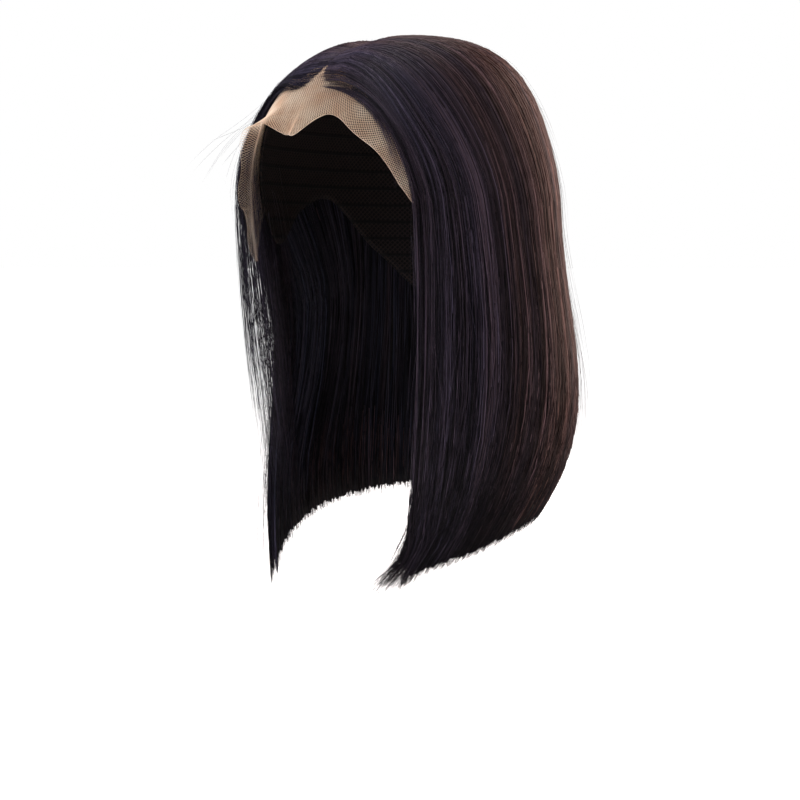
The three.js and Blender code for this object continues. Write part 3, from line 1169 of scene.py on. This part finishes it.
@dataclass
class StrandSet:
    """Strands that are joined in one mesh. Each stands for a wisp of some dozen hairs.

    Span is a stretch of the way round, root and tip are ranges along the hair, stray is how far a strand
    wanders sideways, proud how far its tip stands off and wave how far it waves in and out. A low tip bias
    ends more strands early, and crowd gathers them at one end of the span. Locks draw strands together
    towards the hem. A rooted strand comes up out of the net that it is tied to, behind the forehead it
    starts in the middle of the parting, and most of its segments lie on the crown, where it bends. It is
    never shorter than the shortest.
    """

    name: str
    count: int
    span: Pair
    seed: int
    depth: Pair = (-0.04, 0.12)
    root: Pair = (0.0, 0.012)
    tip: Pair = (1.985, 2.022)
    tip_bias: float = 2.0
    shortest: float = 0.15
    radius: Pair = (0.2 * MM, 0.38 * MM)
    root_radius: float = 0.4
    segments: int = 20
    crowd: float = 1.0
    stray: float = 1.6 * MM
    proud: Pair = (0.0, 0.6 * MM)
    wave: float = 0.2 * MM
    draw: float = 0.3
    locks: int = 150
    combed: bool = True
    rooted: bool = False
    root_way: float = 0.14
    root_sink: float = 0.8 * MM
    over_parting: float = 0.02
    bare_bias: float = 0.42
    crown_segments: float = 0.7
    crown_end: float = 1.1
    form: StrandForm = StrandForm()
    shades: HairShades = HairShades()

    def stations(self, root: np.ndarray, tip: np.ndarray, rng: np.random.Generator) -> np.ndarray:
        """Place each strand's points along its way, at uneven steps so that no facets line up.

        Args:
            root: where each strand starts, as a column.
            tip: where it ends.
            rng: the strands' own random numbers.

        Returns:
            A row of places along the way for each strand.
        """
        even = np.linspace(0.0, 1.0, self.segments + 1) + np.zeros_like(root)
        even[:, 1:-1] += (rng.random(root.shape) - 0.5) / self.segments
        if not self.rooted:
            return mix(root, tip, even)
        over = np.minimum(even / self.crown_segments, 1.0)
        down = np.maximum(even - self.crown_segments, 0.0) / (1.0 - self.crown_segments)
        even_end = mix(root, tip, self.crown_segments)
        crown_end = np.where(root < self.crown_end, np.minimum(self.crown_end, even_end), even_end)
        return root + (crown_end - root) * over + (tip - crown_end) * down

    def build(self, flow: HairFlow, material: bpy.types.Material) -> None:
        """Grow the strands along the hair's flow.

        Args:
            flow: the way that the hair lies.
            material: the strands' finish.
        """
        form = self.form
        rng = np.random.default_rng(self.seed)
        column = (self.count, 1)
        even = 1.0 - np.linspace(1.0, 0.0, self.count)[:, None] ** self.crowd
        turn = mix(*self.span, even) + rng.normal(0, form.scatter, column)
        turn = np.clip(turn, *self.span)
        lock = np.floor(turn * self.locks)
        lock_middle = (lock + 0.5 + form.lock_shift * np.sin(lock * form.lock_shift_step)) / self.locks
        root = mix(*self.root, rng.random(column))
        if self.rooted:
            behind = smooth_step(behind_front(turn), *form.forehead)
            root = root - self.over_parting * behind * rng.random(column)
            root = root + flow.bare(turn) * rng.random(column) ** self.bare_bias
        tip = mix(self.tip[1], self.tip[0], rng.random(column) ** self.tip_bias)
        tip = tip + form.lock_tip * np.sin(lock * form.lock_tip_step)
        if self.rooted:
            tip = np.maximum(tip, root + self.shortest)
        way = self.stations(root, tip, rng)
        share = (way - root) / (tip - root)
        pull = self.draw * smooth_step(way, 1.0, 2.0)
        phase = rng.random((self.count, 3)) * 2 * np.pi
        first, second = (turns * np.pi * way for turns in form.wander)
        wander = np.sin(first + phase[:, :1]) + form.wander_second * np.sin(second + phase[:, 1:2])
        sideways = self.stray / flow.girth * wander * (np.maximum(way, 0.0) / 2.0) ** form.wander_growth
        depth = mix(*self.depth, rng.random(column))
        lifted = mix(*self.proud, rng.random(column)) * share**form.proud_growth
        lifted = lifted + self.wave * np.sin(form.waves * np.pi * way + phase[:, 2:]) * share
        if self.rooted:
            up = smooth_step(way - root, 0.0, self.root_way)
            depth = mix(1.0, depth, up)
            lifted = lifted - self.root_sink * (1.0 - up)
        round_ = mix(turn, lock_middle, pull)
        if self.combed:
            round_ = flow.combed(round_, way)
        paths = flow.points(round_ + sideways, way, depth, lifted)
        grown = mix(self.root_radius, 1.0, smooth_step(way, 0.0, form.full_way))
        full = mix(*self.radius, rng.random(column)) * grown
        taper = np.clip(form.taper * (1.0 - share), form.taper_end, 1.0)
        vertices, quads, ends = tube_arrays(paths, full * taper, flow.outward(paths), 0)
        piece = mesh_object(self.name, vertices, quads, ends)
        # Each strand's colour, with painted light and shade in it
        colours = self.shades.at(turn, share, rng)
        set_colours(piece, np.repeat(colours, len(TUBE_EDGES), axis=1))
        dress(piece, Slot.HAIR, material)


@dataclass
class Hair:
    """All the hair: the beds of the three falls and the strands over, under and around them.

    At the right front, from the veil's start on, a few strands hang free of the combed hair, and light
    shows between them.
    """

    flow: HairFlow
    veil: float = 0.86

    def beds(self) -> tuple[HairSheet, ...]:
        """List the dense beds. They keep back from the front edges, where the hair is sparse."""
        return (
            HairSheet(self.flow, "hair_left", 0.02, 0.301, 11),
            HairSheet(self.flow, "hair_back", 0.301, 0.699, 12, columns=230),
            HairSheet(self.flow, "hair_right", 0.699, 0.978, 13),
        )

    def strands(self) -> tuple[StrandSet, ...]:
        """List the sets of strands, from the top layer to the fringe and the stray hairs."""
        under = {"depth": (0.1, 0.45), "root": (0.25, 0.6), "segments": 12}
        inside = {
            "depth": (0.7, 1.0),
            "root": (0.75, 1.05),
            "segments": 10,
            "proud": (0.0, 0.0),
            # Darker and bluer than the outer hair: painted shade on the inside of the falls
            "shades": HairShades(black="#191a22", brown="#2b2224", back=0.35),
        }
        front = {"tip": (1.9, 2.03), "radius": (0.07 * MM, 0.15 * MM), "rooted": True}
        veil = {
            "depth": (-0.45, 1.0),
            "root": (0.3, 0.8),
            "tip": (1.3, 1.92),
            "tip_bias": 1.0,
            "radius": (0.05 * MM, 0.11 * MM),
            "segments": 12,
            "crowd": 0.75,
            "stray": 3 * MM,
            "proud": (-15 * MM, -2 * MM),
            "draw": 0.08,
            "combed": False,
        }
        fringe = {
            "depth": (0.0, 1.0),
            "root": (1.7, 1.85),
            "tip": (1.99, 2.035),
            "tip_bias": 0.8,
            "radius": (0.1 * MM, 0.2 * MM),
            "segments": 4,
        }
        hairline = {
            "depth": (-0.1, 0.6),
            "root": (0.13, 0.95),
            "tip": (1.0, 1.35),
            "radius": (0.05 * MM, 0.11 * MM),
            "segments": 12,
            "combed": False,
            "rooted": True,
        }
        hairline_right = {**hairline, "tip": (0.9, 1.6)}
        stray = {
            "root": (0.25, 1.3),
            "tip": (1.35, 1.98),
            "radius": (0.035 * MM, 0.07 * MM),
            "segments": 14,
            "stray": 9 * MM,
            "proud": (1.0 * MM, 12 * MM),
            "wave": 1.2 * MM,
        }
        stray_right = {**stray, "root": (1.1, 1.6), "tip": (1.6, 2.06)}
        halo = {
            "root": (0.05, 0.7),
            "tip": (0.6, 1.45),
            "tip_bias": 1.0,
            "radius": (0.035 * MM, 0.06 * MM),
            "segments": 10,
            "stray": 10 * MM,
            "proud": (0.4 * MM, 5 * MM),
            "wave": 0.8 * MM,
        }
        baby = {
            "depth": (0.7, 1.0),
            "root": (0.06, 0.65),
            "tip": (0.3, 0.95),
            "tip_bias": 1.0,
            "radius": (0.035 * MM, 0.07 * MM),
            "root_radius": 1.0,
            "segments": 8,
            "stray": 6 * MM,
            "combed": False,
        }
        parting = {
            "depth": (0.7, 1.0),
            "root": (-0.015, 0.09),
            "tip": (0.1, 0.4),
            "tip_bias": 1.0,
            "radius": (0.03 * MM, 0.065 * MM),
            "root_radius": 1.0,
            "segments": 6,
            "stray": 3 * MM,
        }
        arcs = {
            "root": (0.36, 0.6),
            "tip": (0.68, 0.9),
            "radius": (0.04 * MM, 0.06 * MM),
            "segments": 14,
            "stray": 20 * MM,
            "proud": (8 * MM, 34 * MM),
            "combed": False,
        }
        wisps = {
            "root": (1.55, 1.75),
            "tip": (2.0, 2.09),
            "radius": (0.05 * MM, 0.12 * MM),
            "segments": 10,
            "stray": 6 * MM,
            "proud": (-1.0 * MM, 4 * MM),
        }
        return (
            StrandSet("strands_left", 1050, (0.014, 0.31), 21, rooted=True),
            StrandSet("strands_back", 1250, (0.29, 0.71), 22, rooted=True),
            StrandSet("strands_right", 900, (0.69, 0.995), 23, rooted=True),
            StrandSet("strands_front_left", 320, (-0.001, 0.05), 39, crowd=2.0, **front),
            StrandSet("strands_front_right", 180, (0.945, 0.998), 40, crowd=0.6, **front),
            StrandSet("strands_veil", 620, (self.veil, 1.0), 29, **veil),
            StrandSet("strands_under_left", 200, (0.004, 0.31), 24, **under),
            StrandSet("strands_under_back", 220, (0.3, 0.7), 25, **under),
            StrandSet("strands_under_right", 160, (0.69, 0.985), 26, **under),
            StrandSet("strands_inside", 900, (0.01, 0.985), 27, **inside),
            StrandSet("strands_fringe", 2300, (0.0, 0.99), 28, **fringe),
            StrandSet("strands_hairline_left", 260, (-0.003, 0.03), 31, **hairline),
            StrandSet("strands_hairline_right", 110, (0.965, 1.006), 32, **hairline_right),
            StrandSet("strands_stray", 400, (0.0, 1.0), 33, **stray),
            StrandSet("strands_stray_right", 70, (0.93, 1.0), 41, **stray_right),
            StrandSet("strands_baby_left", 240, (-0.02, 0.006), 37, **baby),
            StrandSet("strands_baby_right", 120, (0.994, 1.02), 38, **baby),
            StrandSet("strands_parting_left", 170, (0.012, 0.05), 42, **parting),
            StrandSet("strands_parting_right", 130, (0.95, 0.993), 43, **parting),
            StrandSet("strands_halo", 320, (0.0, 1.0), 35, **halo),
            StrandSet("strands_arcs", 8, (0.97, 1.0), 36, **arcs),
            StrandSet("strands_wisps", 70, (0.0, 0.05), 34, **wisps),
        )

    def build(self) -> None:
        """Build every bed and every set of strands."""
        bed = HairBed().material()
        strand = RealHair().material()
        for sheet in self.beds():
            sheet.build(bed)
        for strands in self.strands():
            strands.build(self.flow, strand)


# Stage


@dataclass(frozen=True)
class SoftBox:
    """A soft studio lamp: its place, width, height, power in watts and colour."""

    name: str
    place: tuple[float, float, float]
    size: Pair
    power: float
    colour: str = "#ffffff"

    def build(self, target: Vector) -> None:
        """Hang the lamp and aim it at a point."""
        lamp = bpy.data.lights.new(self.name, "AREA")
        lamp.shape = "RECTANGLE"
        lamp.size, lamp.size_y = self.size
        lamp.energy = self.power
        lamp.color = linear(self.colour)[:3]
        holder = bpy.data.objects.new(self.name, lamp)
        holder.location = self.place
        holder.rotation_euler = (target - Vector(self.place)).to_track_quat("-Z", "Y").to_euler()
        bpy.context.scene.collection.objects.link(holder)


@dataclass
class Studio:
    """The pale floor, the soft light and the camera at the photograph's angle."""

    floor_z: float = -430 * MM
    floor_size: float = 300.0
    floor_colour: str = "#f0f0f0"
    floor_roughness: float = 0.9
    floor_glow: Pair = (0.78, 0.1)
    camera_azimuth: float = 40.0
    camera_distance: float = 1.0
    camera_aim: Pair = (0.0, 5 * MM)
    camera_z: float = -134 * MM
    camera_pitch: float = 4.79
    camera_yaw: float = 0.07
    lens: float = 72.0
    nearest: float = 0.05
    lamp_aim: tuple[float, float, float] = (0.0, 0.0, -150 * MM)
    sky: Pair = (1.0, 0.35)

    @staticmethod
    def seen_and_cast(tree: bpy.types.NodeTree, seen: float, cast: float) -> bpy.types.NodeSocket:
        """Give a glow one strength where it is seen and another where it lights the hair.

        Args:
            tree: the floor's or the world's tree.
            seen: the strength that shows.
            cast: the strength that lights.

        Returns:
            The socket with the strength.
        """
        rays = add_node(tree, "ShaderNodeLightPath")
        strength = add_node(
            tree,
            "ShaderNodeMapRange",
            {"To Min": cast, "To Max": seen},
            {"Value": rays.outputs["Is Camera Ray"]},
        )
        return strength.outputs[0]

    def floor(self) -> None:
        """Lay the floor."""
        bpy.ops.object.select_all(action="DESELECT")
        bpy.ops.mesh.primitive_plane_add(size=self.floor_size, location=(0.0, 0.0, self.floor_z))
        floor = bpy.context.active_object
        floor.name = "floor"
        bpy.ops.object.transform_apply(location=True)
        settings = {
            "Base Color": linear(self.floor_colour),
            "Roughness": self.floor_roughness,
            "Emission Color": WHITE,
        }
        material, tree, shader = new_material("pale_floor", settings)
        tree.links.new(self.seen_and_cast(tree, *self.floor_glow), shader.inputs["Emission Strength"])
        floor.data.materials.append(material)

    def world(self) -> None:
        """Fill the room with soft light, and show a white wall behind."""
        world = bpy.data.worlds.new("studio")
        world.use_nodes = True
        tree = world.node_tree
        tree.nodes.clear()
        strength = self.seen_and_cast(tree, *self.sky)
        wall = add_node(tree, "ShaderNodeBackground", {"Color": WHITE}, {"Strength": strength})
        add_node(tree, "ShaderNodeOutputWorld", links={"Surface": wall.outputs[0]})
        bpy.context.scene.world = world

    def camera(self) -> None:
        """Set the camera."""
        lens = bpy.data.cameras.new("camera")
        lens.lens = self.lens
        lens.clip_start = self.nearest
        camera = bpy.data.objects.new("camera", lens)
        azimuth = math.radians(self.camera_azimuth)
        camera.location = (
            self.camera_aim[0] + self.camera_distance * math.sin(azimuth),
            self.camera_aim[1] - self.camera_distance * math.cos(azimuth),
            self.camera_z,
        )
        look = math.radians(self.camera_azimuth + self.camera_yaw)
        pitch = math.radians(90.0 - self.camera_pitch)
        camera.rotation_euler = (pitch, 0.0, look)
        bpy.context.scene.collection.objects.link(camera)
        bpy.context.scene.camera = camera

    def lamps(self) -> tuple[SoftBox, ...]:
        """List the lamps."""
        return (
            SoftBox("window_behind", (0.85, 1.25, 0.4), (1.0, 1.4), 30.0, "#ffdfd0"),
            SoftBox("front_left", (-0.2, -1.5, 0.6), (1.2, 1.2), 22.0, "#e2e9ff"),
            SoftBox("overhead", (-0.1, 0.2, 1.5), (1.2, 1.2), 26.0, "#fff6f2"),
        )

    def build(self) -> None:
        """Build the stage."""
        self.floor()
        self.world()
        self.camera()
        for lamp in self.lamps():
            lamp.build(Vector(self.lamp_aim))
        bpy.context.scene.view_settings.view_transform = "Standard"


def corners(box: tuple[Vector, Vector]) -> list[list[float]]:
    """Turn a box's two corners into plain lists."""
    return [list(map(float, corner)) for corner in box]


def main() -> None:
    """Build the wig around the frame."""
    logging.basicConfig(level=logging.INFO, format="%(name)s: %(message)s")
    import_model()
    flow = HairFlow()
    Studio().build()
    Cap(flow.head).build()
    LaceFront(flow).build()
    Hair(flow).build()


if __name__ == "__main__":
    main()
